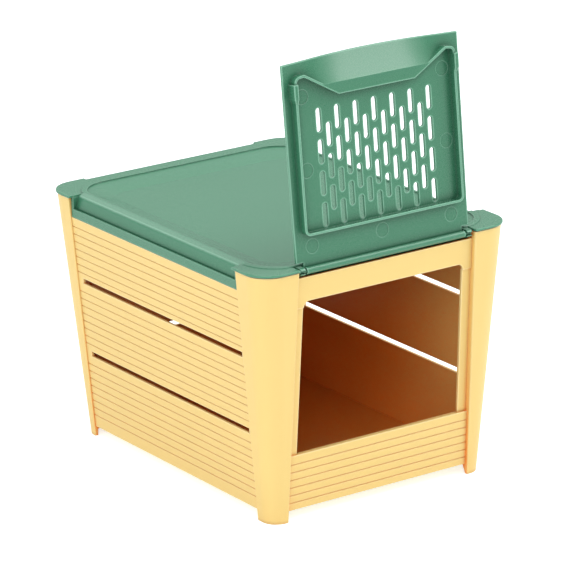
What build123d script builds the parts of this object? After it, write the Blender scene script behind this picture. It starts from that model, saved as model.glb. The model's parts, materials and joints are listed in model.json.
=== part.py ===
from build123d import *
from math import asin, cos, radians, sin, sqrt
import os

# Potato storage bin: a tapering moulded crate, a lift-off lid and a front flap that swings on the lid.
# The bin stands on Z = 0 with its window toward -Y; X = 0 and Y = 0 pass through the middle of the crate.
# Sizes are millimetres. Outer faces lean in toward the feet, so most outlines are worked out from a height.

# crate, overall
length = 300.0
width = 233.0
crate_height = 203.0
foot_inset = 16.5
wall = 2.2

# corner posts: how wide each one looks from the front and from the side, at its top and at its foot
post_front_top, post_front_foot = 34.8, 15.3
post_side_top, post_side_foot = 32.6, 17.6
side_shift = 2.3
post_radius_top, post_radius_foot = 20.0, 13.0
post_edge_rounding = 1.0
cone_margin = 30.0
flange_toe = 0.6

# how far each wall stands behind the outer face of the posts
side_step = 1.5
rail_step = 4.0
jamb_step = 5.0
lower_panel_step = 3.0

# heights in the crate: drops are measured down from the top of the posts
wall_foot = 8.2
wall_drop = 16.0
rail_drop = 5.6
window_drop = 25.2
window_foot = 53.5
window_radius = 5.0
jamb_width = 8.0
ledge_height = 2.2
floor_thickness = 2.2

# grooves and vent slots
groove_pitch = 6.35
groove_margin = 7.6
groove_foot_margin = 4.2
groove_side = 1.0
slot_height = 4.3
slot_pitch = 62.2
slot_front_margin = 2.4
slot_rear_margin = 6.7

# lid
pad_height = 0.8
pad_inset = 1.4
ear_plate = 1.9
ear_overhang = 1.2
ear_reach = 3.0
lid_wall = 2.2
rim_inset = 2.4
rim_rounding = 0.9
bead_width = 5.0
bead_height = 0.7
bead_chamfer = 0.5
recess_step = 1.0
recess_slope = 3.9
recess_side = 11.6
recess_rear = 15.2
recess_front = 2.6
recess_radius = 27.0
panel_margin_side = 18.0
panel_margin_end = 21.0
panel_radius = 16.0
skirt_gap = 0.2
skirt_clearance = 0.4
skirt_leg = 3.2
skirt_depth = 9.2
band_height = 7.2
lip_thickness = 1.3
grip_slit = 0.9
grip_slit_depth = 2.5
grip_crest = 1.5
grip_shoulder_inset = 4.9
grip_shoulder_drop = 2.2
grip_rounding = 3.0
front_wall_drop = 12.0

# hinge: its axis lies this far behind the front of the posts and below their top
hinge_inset = 4.0
hinge_drop = 0.6
barrel_radius = 2.6
pin_radius = 1.4
pin_clearance = 0.05
lug_radius = 3.0
lug_width = 4.4
lug_gap = 1.8
lug_post_gap = 2.1
lug_mouth = 2.4
stop_gap = 0.2

# flap; its rib frame enters the window when the flap is shut
open_lean = 5.3
flap_post_gap = 1.9
flap_flare = 0.6
flap_start = 5.8
flap_overlap = 6.9
flap_thickness = 2.2
flap_setback = 2.3
rib_side_clearance = 0.6
rib_top_clearance = 1.7
rib_foot_clearance = 2.6
rib_height = 6.0
rib_thickness = 1.8
rib_radius = 5.0
catch_clearance = 0.4
catch_length = 20.0
catch_height = 1.6
catch_taper = 4.0
scoop_foot_clearance = 1.4
scoop_depth = 17.5
scoop_inset = 8.9
scoop_spread = 30.2
scoop_ledge = 7.5
scoop_crown = 1.2
lip_length = 2.1
lip_flare = 4.0

# vent slots in the flap
vent_length = 18.4
vent_width = 4.5
vent_pitch_x = 16.85
vent_pitch_y = 24.0
vent_end_margin = 2.8
vent_side_margin = 20.0

# round marks that the ejector pins leave on the flap
mark_radius = 5.5
mark_depth = 0.25
mark_inset = 9.1
mark_foot = 17.0

jamb_depth = jamb_step + wall
side_depth = side_step + wall
wall_top = crate_height - wall_drop
rail_top = crate_height - rail_drop
window_top = crate_height - window_drop
slot_feet = (wall_foot + 2 * slot_pitch, wall_foot + slot_pitch)
face_lean = foot_inset / crate_height


def at_height(z, foot, top):
    """Value at height z of a size that changes evenly from foot to top of the crate."""
    return foot + (top - foot) * z / crate_height


def half_width(z):
    return at_height(z, width / 2 - foot_inset, width / 2)


def half_length(z):
    return at_height(z, length / 2 - foot_inset, length / 2)


def post_x(z):
    """Inner edge of a post, seen from the front."""
    return half_width(z) - at_height(z, post_front_foot, post_front_top)


def post_y(z):
    """Inner edge of a post, seen from the side."""
    return half_length(z) - at_height(z, post_side_foot, post_side_top)


def window_x(z):
    return post_x(z) - jamb_width


def tangent_distance(z):
    """How far the post's rounding reaches along each face from the corner."""
    return at_height(z, post_radius_foot, post_radius_top)


def turn_x(z):
    return half_width(z) - tangent_distance(z)


def turn_y(z):
    return half_length(z) - tangent_distance(z)


def upright(low, high, reach, shift=0.0, mode=Mode.ADD):
    """Four-sided outline between two heights, reaching reach(z) to both sides of its middle."""
    Polygon((shift - reach(low), low), (shift + reach(low), low), (shift + reach(high), high),
            (shift - reach(high), high), align=None, mode=mode)


def leaning_slab(low, high, face, depth, thickness):
    """Section of a wall whose outer side runs depth behind the leaning face."""
    Polygon((face(low) - depth, low), (face(high) - depth, high),
            (face(high) - depth - thickness, high), (face(low) - depth - thickness, low), align=None)


def groove_heights(top, foot):
    count = int((top - foot - groove_margin - groove_foot_margin) / groove_pitch) + 1
    return [top - groove_margin - groove_pitch * number for number in range(count)]


def cut_grooves(face, depth, heights):
    """V notches in a wall's section, one for each groove."""
    with Locations(*[(face(z) - depth, z) for z in heights]):
        Rectangle(groove_side, groove_side, rotation=45, mode=Mode.SUBTRACT)


def inward(face, depth):
    """The same leaning face, set back by depth."""
    return lambda z: face(z) - depth


def flange_depth(z, depth):
    """A flange tapers away below the walls and ends as a toe on the ground."""
    return depth if z >= wall_foot else wall + flange_toe + (depth - wall - flange_toe) * z / wall_foot


def leaning_block(low, high, west, east, south, north):
    """Block between two heights whose four leaning sides are functions of the height."""
    with BuildPart() as block:
        with BuildSketch(Plane.XZ):
            Polygon((west(low), low), (east(low), low), (east(high), high), (west(high), high),
                    align=None)
        extrude(amount=-length)
        with BuildSketch(Plane.YZ):
            Polygon((south(low), low), (north(low), low), (north(high), high), (south(high), high),
                    align=None)
        extrude(amount=width, mode=Mode.INTERSECT)
    return block.part


def rounding_cone(depth, mode=Mode.ADD):
    """Cone that touches both leaning faces of a post, set back by depth, where the rounding ends."""
    centres, radii = [], []
    for z in (-cone_margin, crate_height + cone_margin):
        reach = tangent_distance(z) - depth
        centres.append(Vector(turn_x(z), turn_y(z), z + face_lean * reach))
        radii.append(reach * sqrt(1 + face_lean ** 2))
    axis = centres[1] - centres[0]
    widening = cos(asin((radii[1] - radii[0]) / axis.length))
    with Locations(Plane(origin=centres[0], z_dir=axis)):
        Cone(radii[0] / widening, radii[1] / widening, axis.length,
             align=(Align.CENTER, Align.CENTER, Align.MIN), mode=mode)


def post_legs(side_edge, front_depth):
    """The two leaning walls of a post where X and Y are positive, and the flange on each."""
    legs = [leaning_block(0, crate_height, post_x, turn_x, inward(half_length, wall), half_length),
            leaning_block(0, crate_height, inward(half_width, wall), half_width, side_edge, turn_y)]
    for low, high in ((0, wall_foot), (wall_foot, crate_height)):
        legs.append(leaning_block(low, high, post_x, inward(post_x, -wall),
                                  lambda z: half_length(z) - flange_depth(z, front_depth),
                                  inward(half_length, wall)))
        legs.append(leaning_block(low, high, lambda z: half_width(z) - flange_depth(z, side_depth),
                                  inward(half_width, wall), side_edge, inward(side_edge, -wall)))
    return legs


def round_post_edges(post):
    """Round the two long outer edges at which a post ends."""
    ends = (post.edges().filter_by(lambda edge: edge.length > crate_height)
            .sort_by(lambda edge: edge.center().X - edge.center().Y))
    fillet((ends[0], ends[-1]), post_edge_rounding)


os.makedirs("parts", exist_ok=True)

rail_foot = window_top - window_radius
slat_spans = ((wall_top, slot_feet[0] + slot_height), (slot_feet[0], slot_feet[1] + slot_height),
              (slot_feet[1], wall_foot))

corner_block = leaning_block(0, crate_height, turn_x, inward(half_width, -wall),
                             turn_y, inward(half_length, -wall))
with BuildPart() as post_corner:
    rounding_cone(0)
    rounding_cone(wall, mode=Mode.SUBTRACT)
    add(corner_block, mode=Mode.INTERSECT)

rear_legs = post_legs(inward(post_y, -side_shift), side_depth)
with BuildPart() as post_rear_right:
    add(post_corner.part)
    add(rear_legs)
    round_post_edges(post_rear_right)

front_legs = post_legs(inward(post_y, side_shift), jamb_depth)
with BuildPart() as post_front_right:
    add(post_corner.part)
    add(front_legs)
    round_post_edges(post_front_right)
    mirror(about=Plane.XZ, mode=Mode.REPLACE)

with BuildPart() as post_rear_left:
    add(post_rear_right.part)
    mirror(about=Plane.YZ, mode=Mode.REPLACE)

with BuildPart() as post_front_left:
    add(post_front_right.part)
    mirror(about=Plane.YZ, mode=Mode.REPLACE)

with BuildPart() as wall_right:
    with BuildSketch(Plane.XZ):
        leaning_slab(wall_foot, wall_top, half_width, side_step, wall)
        for slat_top, slat_foot in slat_spans:
            cut_grooves(half_width, side_step, groove_heights(slat_top, slat_foot))
    extrude(amount=length, both=True)
    with BuildSketch(Plane.YZ):
        upright(wall_foot, wall_top, post_y, shift=side_shift)
        for slot_foot in slot_feet:
            slot_front = side_shift + slot_front_margin - post_y(slot_foot)
            slot_rear = side_shift + post_y(slot_foot) - slot_rear_margin
            with Locations(((slot_front + slot_rear) / 2, slot_foot + slot_height / 2)):
                Rectangle(slot_rear - slot_front, slot_height, mode=Mode.SUBTRACT)
    extrude(amount=width, both=True, mode=Mode.INTERSECT)

with BuildPart() as wall_left:
    add(wall_right.part)
    mirror(about=Plane.YZ, mode=Mode.REPLACE)

with BuildPart() as wall_rear:
    with BuildSketch(Plane.YZ):
        leaning_slab(wall_foot, wall_top, half_length, side_step, wall)
        for slat_top, slat_foot in slat_spans:
            cut_grooves(half_length, side_step, groove_heights(slat_top, slat_foot))
    extrude(amount=width, both=True)
    with BuildSketch(Plane.XZ):
        upright(wall_foot, wall_top, post_x)
        for slot_foot in slot_feet:
            with Locations((0, slot_foot + slot_height / 2)):
                Rectangle(2 * (post_x(slot_foot) - slot_rear_margin), slot_height, mode=Mode.SUBTRACT)
    extrude(amount=length, both=True, mode=Mode.INTERSECT)

# The front walls are drawn toward +Y like the rear one, then mirrored to the front.
with BuildPart() as front_rail:
    with BuildSketch(Plane.YZ):
        leaning_slab(rail_foot, rail_top, half_length, rail_step, wall)
    extrude(amount=width, both=True)
    with BuildSketch(Plane.XZ):
        upright(rail_foot, rail_top, post_x)
        with BuildSketch(mode=Mode.SUBTRACT) as window:
            upright(window_foot, window_top, window_x)
            fillet(window.vertices().group_by(Axis.Y)[-1], window_radius)
    extrude(amount=length, both=True, mode=Mode.INTERSECT)
    mirror(about=Plane.XZ, mode=Mode.REPLACE)

with BuildPart() as jamb_right:
    with BuildSketch(Plane.YZ):
        leaning_slab(window_foot, rail_foot, half_length, jamb_step, wall)
    extrude(amount=width)
    with BuildSketch(Plane.XZ):
        upright(window_foot, rail_foot, post_x)
        upright(window_foot, rail_foot, window_x, mode=Mode.SUBTRACT)
    extrude(amount=length, both=True, mode=Mode.INTERSECT)
    mirror(about=Plane.XZ, mode=Mode.REPLACE)

with BuildPart() as jamb_left:
    add(jamb_right.part)
    mirror(about=Plane.YZ, mode=Mode.REPLACE)

with BuildPart() as front_lower_panel:
    with BuildSketch(Plane.YZ):
        leaning_slab(wall_foot, window_foot, half_length, lower_panel_step, wall)
        leaning_slab(window_foot - ledge_height, window_foot, half_length, lower_panel_step,
                     jamb_depth - lower_panel_step)
        cut_grooves(half_length, lower_panel_step, groove_heights(window_foot, wall_foot))
    extrude(amount=width, both=True)
    with BuildSketch(Plane.XZ):
        upright(wall_foot, window_foot, post_x)
    extrude(amount=length, both=True, mode=Mode.INTERSECT)
    mirror(about=Plane.XZ, mode=Mode.REPLACE)

# The floor's outline runs inside the thickness of the walls and posts, which then trim it to fit.
with BuildPart() as crate_floor:
    mid_shell = (side_step + wall) / 2
    floor_x = half_width(wall_foot) - mid_shell
    floor_y = half_length(wall_foot) - mid_shell
    with BuildSketch(Plane.XY.offset(wall_foot)):
        RectangleRounded(2 * floor_x, 2 * floor_y, post_radius_foot - mid_shell)
        with Locations((0, -half_length(wall_foot))):
            Rectangle(2 * post_x(wall_foot), 2 * (lower_panel_step + wall / 2), mode=Mode.SUBTRACT)
    extrude(amount=floor_thickness)
    for shell in (post_front_left, post_front_right, post_rear_left, post_rear_right,
                  wall_left, wall_right, wall_rear, front_lower_panel):
        add(shell.part, mode=Mode.SUBTRACT)

# lid, seated on the crate
plate_foot = crate_height + pad_height
ear_top = plate_foot + ear_plate
rim_top = ear_top + bead_height
hinge_y = hinge_inset - length / 2
hinge_z = crate_height - hinge_drop
rim_x = width / 2 - rim_inset
rim_rear = length / 2 - rim_inset
lean_sin, lean_cos = sin(radians(open_lean)), cos(radians(open_lean))
lid_front = (hinge_y + (flap_setback + flap_thickness + (rim_top - hinge_z) * lean_sin) / lean_cos
             + stop_gap)
recess_x = rim_x - recess_side
recess_back = rim_rear - recess_rear
recess_fore = lid_front + recess_front
recess_middle = (recess_back + recess_fore) / 2
recess_length = recess_back - recess_fore
slope_top = rim_top - recess_step
slope_foot = slope_top - recess_slope
band_foot = wall_top + skirt_gap
band_top = band_foot + band_height
band_x = half_width(band_foot) - side_step
skirt_back = rim_x - skirt_depth
skirt_half = post_y(band_foot) - skirt_clearance


def corner_plan(inner_x, inner_y, growth):
    """The four corners of the lid's outline that lie beyond inner_x and inner_y."""
    with BuildSketch(mode=Mode.PRIVATE) as corners:
        RectangleRounded(width + 2 * growth, length + 2 * growth, post_radius_top + growth)
        Rectangle(2 * inner_x, 2 * length, mode=Mode.SUBTRACT)
        with Locations((0, side_shift)):
            Rectangle(2 * width, 2 * inner_y, mode=Mode.SUBTRACT)
    add(corners.sketch)


def recess_plan(growth):
    with Locations((0, recess_middle)):
        RectangleRounded(2 * (recess_x + growth), recess_length + 2 * growth, recess_radius + growth)


def panel_plan():
    with Locations((0, recess_middle)):
        RectangleRounded(2 * (recess_x - panel_margin_side), recess_length - 2 * panel_margin_end,
                         panel_radius)


# What the hand reaches into at a side of the lid: a sloping flank, a rounded shoulder and a slit
# that runs down behind the lip of the band.
with BuildPart() as grip_pocket:
    lip_x = at_height(band_top - band_foot, band_x, rim_x) - lip_thickness
    with BuildSketch(Plane.XZ.offset(-side_shift)) as grip:
        Polygon((recess_x + grip_crest, rim_top),
                (rim_x - grip_shoulder_inset, rim_top - grip_shoulder_drop),
                (lip_x - grip_slit, band_top - grip_slit_depth), (lip_x, band_top - grip_slit_depth),
                (lip_x, band_top), (rim_x + lid_wall, band_top), (rim_x + lid_wall, rim_top), align=None)
        fillet(grip.vertices().sort_by(Axis.X)[1], grip_rounding)
    extrude(amount=skirt_half - skirt_leg, both=True)

with BuildPart() as lid_top:
    with BuildSketch(Plane.XY.offset(plate_foot)):
        with Locations((0, (rim_rear + lid_front) / 2)):
            RectangleRounded(2 * rim_x, rim_rear - lid_front, post_radius_top - rim_inset)
        corner_plan(post_x(crate_height), post_y(crate_height) - ear_reach, ear_overhang)
    extrude(amount=ear_plate)
    plate_top = lid_top.faces().sort_by(Axis.Z)[-1]
    fillet(plate_top.outer_wire().edges(), rim_rounding)
    with BuildSketch(Plane.XY.offset(ear_top)):
        recess_plan(bead_width)
        with Locations((0, lid_front)):
            Rectangle(width, length, align=(Align.CENTER, Align.MIN), mode=Mode.INTERSECT)
    extrude(amount=bead_height)
    chamfer(lid_top.faces().sort_by(Axis.Z)[-1].outer_wire().edges(), bead_chamfer)
    with BuildSketch(Plane.XY.offset(crate_height)):
        corner_plan(post_x(crate_height) + pad_inset, post_y(crate_height), -pad_inset)
    extrude(amount=pad_height)
    with BuildSketch(Plane.XY.offset(slope_top - lid_wall)):
        recess_plan(lid_wall)
    extrude(amount=lid_wall)
    with BuildSketch(Plane.XY.offset(slope_top - lid_wall)):
        recess_plan(lid_wall)
    with BuildSketch(Plane.XY.offset(slope_foot - lid_wall)):
        panel_plan()
    loft()
    with BuildSketch(Plane.XY.offset(slope_top)):
        recess_plan(0)
    extrude(amount=rim_top - slope_top, mode=Mode.SUBTRACT)
    with BuildSketch(Plane.XY.offset(slope_top)):
        recess_plan(0)
    with BuildSketch(Plane.XY.offset(slope_foot)):
        panel_plan()
    loft(mode=Mode.SUBTRACT)
    add(grip_pocket.part, mode=Mode.SUBTRACT)
    add(mirror(grip_pocket.part, about=Plane.YZ, mode=Mode.PRIVATE), mode=Mode.SUBTRACT)

# Each side skirt is a hollow box between two posts, with the grip cut into its outer face.
with BuildPart() as lid_skirt_right:
    with BuildSketch(Plane.XZ.offset(-side_shift)):
        Polygon((skirt_back, band_foot), (band_x, band_foot), (rim_x, plate_foot), (skirt_back, plate_foot),
                align=None)
    extrude(amount=skirt_half, both=True)
    with BuildSketch(Plane.XZ.offset(-side_shift)):
        Polygon((skirt_back, band_foot), (band_x - lid_wall, band_foot),
                (lip_x - grip_slit - lid_wall, band_top - lid_wall), (skirt_back, band_top - lid_wall),
                align=None)
    extrude(amount=skirt_half - lid_wall, both=True, mode=Mode.SUBTRACT)
    add(grip_pocket.part, mode=Mode.SUBTRACT)
    add(lid_top.part, mode=Mode.SUBTRACT)

with BuildPart() as lid_skirt_left:
    add(lid_skirt_right.part)
    mirror(about=Plane.YZ, mode=Mode.REPLACE)

with BuildPart() as lid_skirt_rear:
    band_rear = half_length(band_foot) - side_step
    with BuildSketch(Plane.YZ):
        Polygon((band_rear, band_foot), (rim_rear, plate_foot), (rim_rear - lid_wall, plate_foot),
                (band_rear - lid_wall, band_foot), align=None)
    extrude(amount=post_x(crate_height) - skirt_clearance, both=True)

with BuildPart() as lid_front_wall:
    with BuildSketch(Plane.YZ):
        with Locations((lid_front, plate_foot)):
            Rectangle(lid_wall, front_wall_drop, align=(Align.MIN, Align.MAX))
    extrude(amount=post_x(crate_height) - skirt_clearance, both=True)
    add(lid_top.part, mode=Mode.SUBTRACT)

# Snap-in bearing: a ring with a mouth at the front, a little narrower than the pin.
lug_outer = post_x(crate_height) - lug_post_gap
lug_inner = lug_outer - lug_width
barrel_half = lug_inner - lug_gap
with BuildPart() as hinge_lug_right:
    with BuildSketch(Plane.YZ.offset(lug_inner)):
        with Locations((hinge_y, hinge_z)):
            Circle(lug_radius)
            Rectangle(lid_front - hinge_y, 2 * lug_radius, align=(Align.MIN, Align.CENTER))
            Circle(pin_radius + pin_clearance, mode=Mode.SUBTRACT)
            Rectangle(2 * lug_radius, lug_mouth, align=(Align.MAX, Align.CENTER), mode=Mode.SUBTRACT)
    extrude(amount=lug_width)

with BuildPart() as hinge_lug_left:
    add(hinge_lug_right.part)
    mirror(about=Plane.YZ, mode=Mode.REPLACE)

# flap, drawn open, leaning back on the lid
# In its plane X runs across, Y runs from the hinge to the free edge and Z comes out of the inner face.
hinge_plane = Plane(origin=(0, hinge_y, hinge_z), x_dir=(1, 0, 0), z_dir=(0, -lean_cos, lean_sin))
inner_face = hinge_plane.offset(-flap_setback)
outer_face = inner_face.offset(-flap_thickness)
window_foot_reach = hinge_z - window_foot
flap_end = window_foot_reach + flap_overlap
flap_half_hinge = post_x(crate_height) - flap_post_gap
flap_half_free = flap_half_hinge + flap_flare
rib_half = window_x(window_top) - rib_side_clearance
rib_start = hinge_z - window_top + rib_top_clearance
rib_corner_end = window_foot_reach - rib_foot_clearance
scoop_end = window_foot_reach - scoop_foot_clearance
scoop_start = scoop_end - scoop_depth
scoop_half_end = rib_half - scoop_inset
scoop_half_start = scoop_half_end - scoop_spread
ledge_end = scoop_start + scoop_ledge
scoop_slant = (scoop_half_end - scoop_half_start) / (scoop_end - scoop_start)
ledge_half = scoop_half_start + scoop_slant * scoop_ledge
overlap = rib_thickness / 3
catch_start = rib_corner_end - catch_length
catch_end = rib_corner_end - rib_radius
catch_x = window_x(hinge_z - catch_start) - catch_clearance
vent_rows = int((scoop_start - rib_start - 2 * vent_end_margin - vent_length) / vent_pitch_y) + 1
vent_columns = 2 * int((rib_half - vent_side_margin) / vent_pitch_x) + 1
vent_centre = rib_start + vent_end_margin + ((vent_rows - 1) * vent_pitch_y + vent_length) / 2
mark_x = rib_half - mark_inset
mark_places = [(x, y) for x in (-mark_x, mark_x) for y in (mark_foot, vent_centre, scoop_start)]
mark_places.append((0, mark_foot))


def across(distance):
    """Plane square to the flap at a distance from the hinge, with its Y toward the outer side."""
    return Plane(origin=inner_face.from_local_coords((0, distance, 0)), x_dir=(1, 0, 0),
                 z_dir=inner_face.y_dir)


def scoop_section(distance, half, edge_height, middle_height):
    """Section of the scoop's sheet, its heights measured up from the inner face of the panel."""
    with BuildSketch(across(distance)) as section:
        with BuildLine():
            ends = ((-half, -edge_height), (half, -edge_height))
            below = [(x, y + flap_thickness) for x, y in ends]
            if edge_height == middle_height:
                Line(*ends)
                Line(*below)
            else:
                ThreePointArc(ends[0], (0, -middle_height), ends[1])
                ThreePointArc(below[0], (0, flap_thickness - middle_height), below[1])
            Line(ends[0], below[0])
            Line(ends[1], below[1])
        make_face()
    return section.sketch.face()


def flap_outline():
    """Plan of the whole flap, whose free edge bows out a little in the middle."""
    with BuildLine() as edges:
        Polyline((-flap_half_free, flap_end), (-flap_half_hinge, flap_start), (-barrel_half, flap_start),
                 (-barrel_half, 0), (barrel_half, 0), (barrel_half, flap_start),
                 (flap_half_hinge, flap_start), (flap_half_free, flap_end))
        ThreePointArc((flap_half_free, flap_end), (0, flap_end + lip_length), (-flap_half_free, flap_end))
    make_face(edges.edges())


with BuildPart() as flap_hinge_barrel:
    with BuildSketch(Plane.YZ.offset(-barrel_half)):
        with Locations((hinge_y, hinge_z)):
            Circle(barrel_radius)
    extrude(amount=2 * barrel_half)
    with BuildSketch(Plane.YZ.offset(-lug_outer)):
        with Locations((hinge_y, hinge_z)):
            Circle(pin_radius)
    extrude(amount=2 * lug_outer)

# The sheet that slopes up from the scoop's ledge, then curls outward as the lip of the free edge.
with BuildPart() as scoop_sheet:
    crown_section = scoop_section(scoop_end, scoop_half_end, 0, scoop_crown)
    loft([scoop_section(ledge_end, ledge_half + overlap, rib_height, rib_height), crown_section], ruled=True)
    loft([crown_section, scoop_section(flap_end + 2 * lip_length, scoop_half_end, 0, -lip_flare)],
         ruled=True)
    with BuildSketch(inner_face.offset(-rib_height - lip_flare)):
        flap_outline()
    extrude(amount=2 * (rib_height + lip_flare), mode=Mode.INTERSECT)

# Near the free corners the rib frame is thicker and higher, and holds the flap in the window.
with BuildPart() as catches:
    with BuildSketch(inner_face):
        for side in (-1, 1):
            Polygon((side * (rib_half - rib_thickness), catch_start), (side * rib_half, catch_start),
                    (side * catch_x, catch_start + catch_taper), (side * catch_x, catch_end),
                    (side * (rib_half - rib_thickness), catch_end), align=None)
    extrude(amount=rib_height + catch_height)
    with BuildSketch(Plane(origin=inner_face.origin, x_dir=inner_face.y_dir, z_dir=inner_face.x_dir)):
        Polygon((catch_start, 0), (catch_start, rib_height),
                (catch_start + catch_taper, rib_height + catch_height),
                (catch_end, rib_height + catch_height), (catch_end, 0), align=None)
    extrude(amount=catch_x, both=True, mode=Mode.INTERSECT)

with BuildPart() as flap_panel:
    with BuildSketch(outer_face):
        flap_outline()
        Polygon((-scoop_half_start, scoop_start), (scoop_half_start, scoop_start),
                (scoop_half_end, scoop_end), (scoop_half_end, 2 * scoop_end),
                (-scoop_half_end, 2 * scoop_end), (-scoop_half_end, scoop_end),
                align=None, mode=Mode.SUBTRACT)
        with Locations((0, vent_centre)):
            with GridLocations(vent_pitch_x, vent_pitch_y, vent_columns, vent_rows):
                SlotOverall(vent_length, vent_width, rotation=90, mode=Mode.SUBTRACT)
            with GridLocations(vent_pitch_x, vent_pitch_y, vent_columns - 1, vent_rows - 1):
                SlotOverall(vent_length, vent_width, rotation=90, mode=Mode.SUBTRACT)
    extrude(amount=flap_thickness)
    with BuildSketch(inner_face):
        with Locations(*mark_places):
            Circle(mark_radius)
    extrude(amount=-mark_depth, mode=Mode.SUBTRACT)
    with BuildSketch(inner_face) as rib_ring:
        Polygon((-rib_half, rib_start), (rib_half, rib_start), (rib_half, rib_corner_end),
                (scoop_half_end, scoop_end), (scoop_half_start, scoop_start),
                (-scoop_half_start, scoop_start), (-scoop_half_end, scoop_end),
                (-rib_half, rib_corner_end), align=None)
        corners = rib_ring.vertices().filter_by(lambda corner: abs(abs(corner.X) - rib_half) < 0.01)
        fillet(corners, rib_radius)
        offset(amount=-rib_thickness, kind=Kind.INTERSECTION, mode=Mode.SUBTRACT)
    extrude(amount=rib_height)
    add(catches.part)
    with BuildSketch(inner_face.offset(rib_height - flap_thickness)):
        Polygon((-scoop_half_start, scoop_start - overlap), (scoop_half_start, scoop_start - overlap),
                (ledge_half + overlap, ledge_end), (-ledge_half - overlap, ledge_end), align=None)
    extrude(amount=flap_thickness)
    add(scoop_sheet.part)
    add(flap_hinge_barrel.part, mode=Mode.SUBTRACT)

for name, piece in (("post_front_left", post_front_left), ("post_front_right", post_front_right),
                    ("post_rear_left", post_rear_left), ("post_rear_right", post_rear_right),
                    ("wall_left", wall_left), ("wall_right", wall_right), ("wall_rear", wall_rear),
                    ("front_rail", front_rail), ("jamb_left", jamb_left), ("jamb_right", jamb_right),
                    ("front_lower_panel", front_lower_panel), ("crate_floor", crate_floor),
                    ("lid_top", lid_top), ("lid_skirt_left", lid_skirt_left),
                    ("lid_skirt_right", lid_skirt_right), ("lid_skirt_rear", lid_skirt_rear),
                    ("lid_front_wall", lid_front_wall), ("hinge_lug_left", hinge_lug_left),
                    ("hinge_lug_right", hinge_lug_right), ("flap_panel", flap_panel),
                    ("flap_hinge_barrel", flap_hinge_barrel)):
    piece.part.label = name
    export_step(piece.part, f"parts/{name}.step")
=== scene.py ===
import bpy
import json
from math import cos, radians, sin
from mathutils import Matrix, Vector

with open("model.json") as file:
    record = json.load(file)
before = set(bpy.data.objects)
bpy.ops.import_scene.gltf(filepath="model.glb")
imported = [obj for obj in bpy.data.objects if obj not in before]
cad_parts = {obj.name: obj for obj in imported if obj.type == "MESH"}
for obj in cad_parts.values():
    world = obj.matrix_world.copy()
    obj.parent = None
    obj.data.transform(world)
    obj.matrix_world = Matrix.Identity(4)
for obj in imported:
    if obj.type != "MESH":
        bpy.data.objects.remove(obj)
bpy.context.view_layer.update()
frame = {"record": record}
behaviour = frame["record"]["behaviour"]
joints = {joint["name"]: joint for joint in behaviour["joints"]}


def linear(color):
    # display colour 0-255 to scene linear
    parts = [c / 255 for c in color]
    return tuple(c / 12.92 if c <= 0.04045 else ((c + 0.055) / 1.055) ** 2.4 for c in parts) + (1.0,)


def emptyTree(block):
    block.use_nodes = True
    block.node_tree.nodes.clear()
    return block.node_tree


def addNode(tree, kind, place, inputs=None, **settings):
    node = tree.nodes.new(kind)
    node.location = (place[0] * 220, place[1] * 200)
    for name, value in settings.items():
        setattr(node, name, value)
    for name, value in (inputs or {}).items():  # a socket is linked, anything else is a fixed value
        if isinstance(value, bpy.types.NodeSocket):
            tree.links.new(value, node.inputs[name])
        else:
            node.inputs[name].default_value = value
    return node


def calc(tree, operation, place, *values):
    node = addNode(tree, "ShaderNodeMath", place, dict(enumerate(values)), operation=operation)
    return node.outputs["Value"]


def calcVector(tree, operation, place, *values):
    node = addNode(tree, "ShaderNodeVectorMath", place, dict(enumerate(values)), operation=operation)
    return node.outputs["Value" if operation == "DOT_PRODUCT" else "Vector"]


def ramp(tree, value, span, ends, place, curve="SMOOTHSTEP"):
    inputs = {"Value": value, "From Min": span[0], "From Max": span[1], "To Min": ends[0], "To Max": ends[1]}
    return addNode(tree, "ShaderNodeMapRange", place, inputs, interpolation_type=curve).outputs["Result"]


def choose(tree, when, otherwise, chosen, place):
    return ramp(tree, when, (0.0, 1.0), (otherwise, chosen), place, "LINEAR")


def mix(tree, kind, factor, a, b, place):
    node = addNode(tree, "ShaderNodeMix", place, {"Factor": factor, "A": a, "B": b}, data_type=kind)
    return node.outputs["Result"]


def turned(tree, normal, source, target, place):
    node = addNode(tree, "ShaderNodeVectorTransform", place, {"Vector": normal},
                   vector_type="NORMAL", convert_from=source, convert_to=target)
    return node.outputs["Vector"]


def noise(tree, where, settings, place):
    return addNode(tree, "ShaderNodeTexNoise", place, {"Vector": where, **settings}).outputs["Fac"]


def bump(tree, normal, height, depth, place):
    inputs = {"Strength": 1.0, "Distance": depth, "Height": height, "Normal": normal}
    return addNode(tree, "ShaderNodeBump", place, inputs).outputs["Normal"]


# painted light and shade: colour lightened along convex edges as a painted highlight, or darkened in grooves,
# corners and hollows as painted shade, both laid by ambient occlusion
def paintedLightAndShade(tree, color, tinting, inside, place):
    x, y = place
    near = addNode(tree, "ShaderNodeAmbientOcclusion", place, {"Distance": tinting["reach"]},
                   samples=8, inside=inside, only_local=inside)
    amounts = (0.0, tinting["amount"])
    factor = ramp(tree, near.outputs["AO"], tinting["openness"], amounts, (x + 1, y), "LINEAR")
    # faces that look down get no painted warm shade, so the floor beneath takes no coloured bounce from it
    if "notBelow" in tinting:  # faces that look down stay plain
        face = addNode(tree, "ShaderNodeNewGeometry", (x - 1, y + 1)).outputs["Normal"]
        rise = calcVector(tree, "DOT_PRODUCT", (x, y + 1), face, (0.0, 0.0, 1.0))
        plain = ramp(tree, rise, tinting["notBelow"], (0.0, 1.0), (x + 1, y + 1))
        factor = calc(tree, "MULTIPLY", (x + 2, y + 1), factor, plain)
    return mix(tree, "RGBA", factor, color, linear(tinting["color"]), (x + 2, y))


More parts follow.
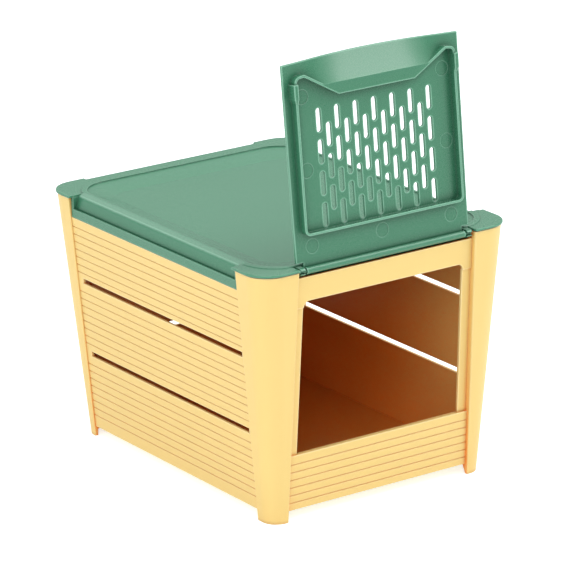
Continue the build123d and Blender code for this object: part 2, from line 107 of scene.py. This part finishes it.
# the flap's scoop is one soft hollow: its slope and lip shade as a single curve that dies out at both ends
def softScoop(tree, normal, scoop):
    up = (0.0, sin(scoop["lean"]), cos(scoop["lean"]))
    front = (0.0, -cos(scoop["lean"]), sin(scoop["lean"]))
    where = addNode(tree, "ShaderNodeTexCoord", (-12, -8)).outputs["Object"]
    fromHinge = calcVector(tree, "SUBTRACT", (-11, -8), where, scoop["hinge"])
    reach = calcVector(tree, "DOT_PRODUCT", (-10, -8), fromHinge, up)
    across = calcVector(tree, "DOT_PRODUCT", (-10, -9), fromHinge, (1.0, 0.0, 0.0))
    side = calc(tree, "ABSOLUTE", (-9, -9), across)

    geometry = addNode(tree, "ShaderNodeNewGeometry", (-12, -10))
    face = turned(tree, geometry.outputs["Normal"], "WORLD", "OBJECT", (-11, -10))
    facing = calcVector(tree, "DOT_PRODUCT", (-10, -10), face, front)
    slope = calc(tree, "DIVIDE", (-9, -11), calcVector(tree, "DOT_PRODUCT", (-10, -11), face, up), facing)
    sloping = ramp(tree, slope, scoop["sloping"], (0.0, 1.0), (-8, -11))
    toFront = ramp(tree, facing, scoop["toFront"], (0.0, 1.0), (-8, -10))
    beyond = ramp(tree, reach, (scoop["start"] - scoop["blend"], scoop["start"]), (0.0, 1.0), (-8, -8))
    inScoop = calc(tree, "MULTIPLY", (-5, -9), calc(tree, "MULTIPLY", (-6, -9), sloping, toFront), beyond)

    fade = ramp(tree, side, scoop["fade"], (1.0, 0.0), (-8, -7))
    curl = ramp(tree, reach, (scoop["start"], scoop["end"]), scoop["tilt"], (-8, -6))
    aim = calcVector(tree, "MULTIPLY_ADD", (-5, -7), up, calc(tree, "MULTIPLY", (-6, -7), fade, curl), front)
    aimed = turned(tree, aim, "OBJECT", "WORLD", (-4, -7))
    return calcVector(tree, "NORMALIZE", (-2, -7), mix(tree, "VECTOR", inScoop, normal, aimed, (-3, -7)))


# moulded polypropylene: even colour with faint flow clouding, fine spark grain and softened edges, plus
# painted highlights along convex edges and painted shade in grooves, corners and closed-in hollows
def mouldedPlastic(name, look):
    material = bpy.data.materials.new(name)
    tree = emptyTree(material)
    where = addNode(tree, "ShaderNodeTexCoord", (-6, 0)).outputs["Object"]
    flow = noise(tree, where, look["flow"], (-4, 2))  # slow clouding where the melt flowed
    grain = noise(tree, where, look["grain"], (-4, -1))  # spark-eroded grain of the mould
    wave = noise(tree, where, look["wave"], (-4, -3))  # slight sink and waviness of a thin wall

    color = mix(tree, "RGBA", flow, linear(look["shade"]), linear(look["tint"]), (-1, 2))
    # painted highlights on convex edges, painted shade in creases, and a painted warm shade on closed-in
    # surfaces, each where ambient occlusion finds them
    for row, kind in enumerate(("edge", "paintedCreaseShade", "depth")):
        if kind in look:
            color = paintedLightAndShade(tree, color, look[kind], kind == "edge", (-1, 4 + 2 * row))

    bevel = addNode(tree, "ShaderNodeBevel", (-3, -5), {"Radius": look["edgeRadius"]}, samples=6)
    normal = bevel.outputs["Normal"]
    if "scoop" in look:
        normal = softScoop(tree, normal, look["scoop"])
    normal = bump(tree, normal, wave, look["waveDepth"], (-1, -3))
    normal = bump(tree, normal, grain, look["grainDepth"], (1, -3))

    roughness = ramp(tree, grain, look["grainSpan"], look["roughness"], (-1, 0), "LINEAR")
    shader = addNode(tree, "ShaderNodeBsdfPrincipled", (2, 0), {
        "Base Color": color, "Roughness": roughness, "IOR": look["ior"], "Normal": normal,
    })
    addNode(tree, "ShaderNodeOutputMaterial", (3, 0), {"Surface": shader.outputs["BSDF"]})
    return material


polypropylene = {
    "ior": 1.49, "edgeRadius": 0.0008,
    "grain": {"Scale": 2600.0, "Detail": 2.0, "Roughness": 0.55}, "grainSpan": (0.3, 0.7),
}
crateLook = {
    **polypropylene,
    "tint": (231, 200, 124), "shade": (227, 195, 118), "roughness": (0.34, 0.42),
    # painted highlight along convex edges, painted shade in grooves and corners, and a painted orange shade
    # on surfaces closed in deep inside the crate
    "edge": {"color": (250, 232, 180), "reach": 0.0012, "openness": (1.0, 0.5), "amount": 0.6},
    "paintedCreaseShade": {"color": (190, 136, 66), "reach": 0.003, "openness": (1.0, 0.4), "amount": 0.6},
    "depth": {"color": (238, 122, 26), "reach": 0.25, "openness": (0.4, 0.15), "amount": 1.0,
              "notBelow": (-0.9, -0.5)},
    "flow": {"Scale": 9.0, "Detail": 3.0, "Roughness": 0.45, "Distortion": 0.6},
    "wave": {"Scale": 14.0, "Detail": 1.0, "Roughness": 0.4},
    "grainDepth": 0.00003, "waveDepth": 0.0003,
}
lidLook = {
    **polypropylene,
    "tint": (68, 128, 99), "shade": (64, 123, 94), "roughness": (0.24, 0.3),
    # painted highlight along convex edges, and painted shade in the recess steps, gaps and corners
    "edge": {"color": (150, 205, 178), "reach": 0.0012, "openness": (1.0, 0.5), "amount": 0.25},
    "paintedCreaseShade": {"color": (34, 84, 60), "reach": 0.008, "openness": (1.0, 0.45), "amount": 0.75},
    "flow": {"Scale": 7.0, "Detail": 3.0, "Roughness": 0.45, "Distortion": 0.6},
    "wave": {"Scale": 12.0, "Detail": 1.0, "Roughness": 0.4},
    "grainDepth": 0.00002, "waveDepth": 0.0004,
}
flapLook = {
    **lidLook,
    # the flap is the lid's own green, written four levels darker as painted shade, and given a stronger
    # painted highlight along its rib edges
    "tint": (64, 124, 95), "shade": (60, 119, 90),
    "edge": {**lidLook["edge"], "amount": 0.75},
    "scoop": {
        "hinge": joints["flap_hinge"]["pos_m"], "lean": radians(5.3),
        "start": 0.1375, "end": 0.157, "blend": 0.001,  # metres up from the hinge
        "fade": (0.02, 0.07), "tilt": (0.75, 0.68),  # metres to each side, and the lean of the curve
        "sloping": (0.05, 0.2), "toFront": (0.3, 0.5),  # which faces belong to the scoop
    },
}
plastics = {
    "crate": mouldedPlastic("cratePlastic", crateLook),
    "lid": mouldedPlastic("lidPlastic", lidLook),
    "flap": mouldedPlastic("flapPlastic", flapLook),
}
for body, nodes in behaviour["bodies"].items():
    for node in nodes:
        piece = bpy.data.objects[node]
        piece.data.materials.clear()
        piece.data.materials.append(plastics[body])

# camera: where it stands round the bin, how it is tipped, and how the picture is framed
view = {
    "aim": (0.0, 0.0, 0.1014), "azimuth": 34.19, "elevation": 18.89, "roll": 1.22, "distance": 3.2636,
    "focal": 4140.46, "offset": (-15.63, 35.51), "imageWidth": 588,  # pixels
    "sensorWidth": 36.0, "farthest": 50.0,  # millimetres, metres
}


def placeCamera():
    a, e, r = (radians(view[name]) for name in ("azimuth", "elevation", "roll"))
    back = Vector((-sin(a) * cos(e), -cos(a) * cos(e), sin(e)))
    right = Vector((cos(a), -sin(a), 0.0))
    up = back.cross(right)
    lean = right * cos(r) - up * sin(r)
    rise = right * sin(r) + up * cos(r)
    camera = bpy.data.objects.new("viewCamera", bpy.data.cameras.new("viewCamera"))
    axes = Matrix((lean, rise, back)).transposed().to_4x4()
    camera.matrix_world = Matrix.Translation(Vector(view["aim"]) + back * view["distance"]) @ axes
    camera.data.sensor_width = view["sensorWidth"]
    camera.data.lens = view["focal"] / view["imageWidth"] * view["sensorWidth"]
    camera.data.shift_x = -view["offset"][0] / view["imageWidth"]
    camera.data.shift_y = view["offset"][1] / view["imageWidth"]
    camera.data.clip_end = view["farthest"]
    bpy.context.scene.collection.objects.link(camera)
    bpy.context.scene.camera = camera


placeCamera()
print("camera placed")

# studio: pale floor, white surroundings and soft boxes
studio = {
    "floorSize": 30.0, "floorColor": (0.74, 0.74, 0.74),
    "glowColor": (0.9, 1.0, 1.02), "floorGlow": (0.33, 0.66),  # as it lights, as it is seen
    "skyRise": (0.08, 0.7), "skyDiffuse": (0.375, 0.725), "skyGlossy": (0.5, 1.2), "skySeen": 1.0,
    "boxAim": (0.0, 0.0, 0.12),
    "boxes": {
        "leftBox": {"place": (-2.6, -0.4, 1.2), "size": 1.6, "power": 14.0},
        "cornerBox": {"place": (-2.0, -2.0, 1.6), "size": 1.6, "power": 25.0},
        "rightBox": {"place": (2.4, -1.6, 1.5), "size": 1.6, "power": 22.0},
        "highBox": {"place": (1.5, -0.9, 2.5), "size": 1.4, "power": 30.0},
        "topBox": {"place": (0.0, 0.3, 2.6), "size": 1.8, "power": 17.0},
        "backBox": {"place": (-0.4, 2.4, 1.8), "size": 1.8, "power": 12.0},
    },
}


# the sky grows brighter with height, mirrored more strongly than it lights, and is plain white where seen
def makeSky():
    world = bpy.data.worlds.new("studioWorld")
    tree = emptyTree(world)
    direction = addNode(tree, "ShaderNodeTexCoord", (-4, 2)).outputs["Generated"]
    height = addNode(tree, "ShaderNodeSeparateXYZ", (-3, 2), {"Vector": direction}).outputs["Z"]
    rays = addNode(tree, "ShaderNodeLightPath", (-3, 0)).outputs
    lighting = ramp(tree, height, studio["skyRise"], studio["skyDiffuse"], (-2, 2))
    mirrored = ramp(tree, height, studio["skyRise"], studio["skyGlossy"], (-2, 1))
    level = choose(tree, rays["Is Glossy Ray"], lighting, mirrored, (-1, 1))
    seen = calc(tree, "MAXIMUM", (-1, -1), rays["Is Camera Ray"], rays["Is Transmission Ray"])
    strength = choose(tree, seen, level, studio["skySeen"], (0, 0))
    sky = addNode(tree, "ShaderNodeBackground", (1, 0), {"Color": (1.0, 1.0, 1.0, 1.0), "Strength": strength})
    addNode(tree, "ShaderNodeOutputWorld", (2, 0), {"Surface": sky.outputs["Background"]})
    bpy.context.scene.world = world


def makeFloor():
    material = bpy.data.materials.new("floorPaper")
    tree = emptyTree(material)
    rays = addNode(tree, "ShaderNodeLightPath", (-2, -1)).outputs
    strength = choose(tree, rays["Is Camera Ray"], *studio["floorGlow"], (-1, -1))
    paper = addNode(tree, "ShaderNodeBsdfDiffuse", (0, 1), {"Color": studio["floorColor"] + (1.0,)})
    glow = addNode(tree, "ShaderNodeEmission", (0, -1), {
        "Color": studio["glowColor"] + (1.0,), "Strength": strength,
    })
    both = addNode(tree, "ShaderNodeAddShader", (1, 0), {
        0: paper.outputs["BSDF"], 1: glow.outputs["Emission"],
    })
    addNode(tree, "ShaderNodeOutputMaterial", (2, 0), {"Surface": both.outputs["Shader"]})
    half = studio["floorSize"] / 2
    mesh = bpy.data.meshes.new("floorSheet")
    corners = [(-half, -half, 0), (half, -half, 0), (half, half, 0), (-half, half, 0)]
    mesh.from_pydata(corners, [], [(0, 1, 2, 3)])
    mesh.materials.append(material)
    floor = bpy.data.objects.new("floorSheet", mesh)
    bpy.context.scene.collection.objects.link(floor)


def makeBoxes():
    for name, box in studio["boxes"].items():
        lamp = bpy.data.lights.new(name, "AREA")
        lamp.shape = "SQUARE"
        lamp.size = box["size"]
        lamp.energy = box["power"]
        holder = bpy.data.objects.new(name, lamp)
        holder.location = box["place"]
        toBin = Vector(studio["boxAim"]) - Vector(box["place"])
        holder.rotation_euler = toBin.to_track_quat("-Z", "Y").to_euler()
        bpy.context.scene.collection.objects.link(holder)


makeSky()
makeFloor()
makeBoxes()
bpy.context.scene.view_settings.view_transform = "Standard"
print("studio lit")
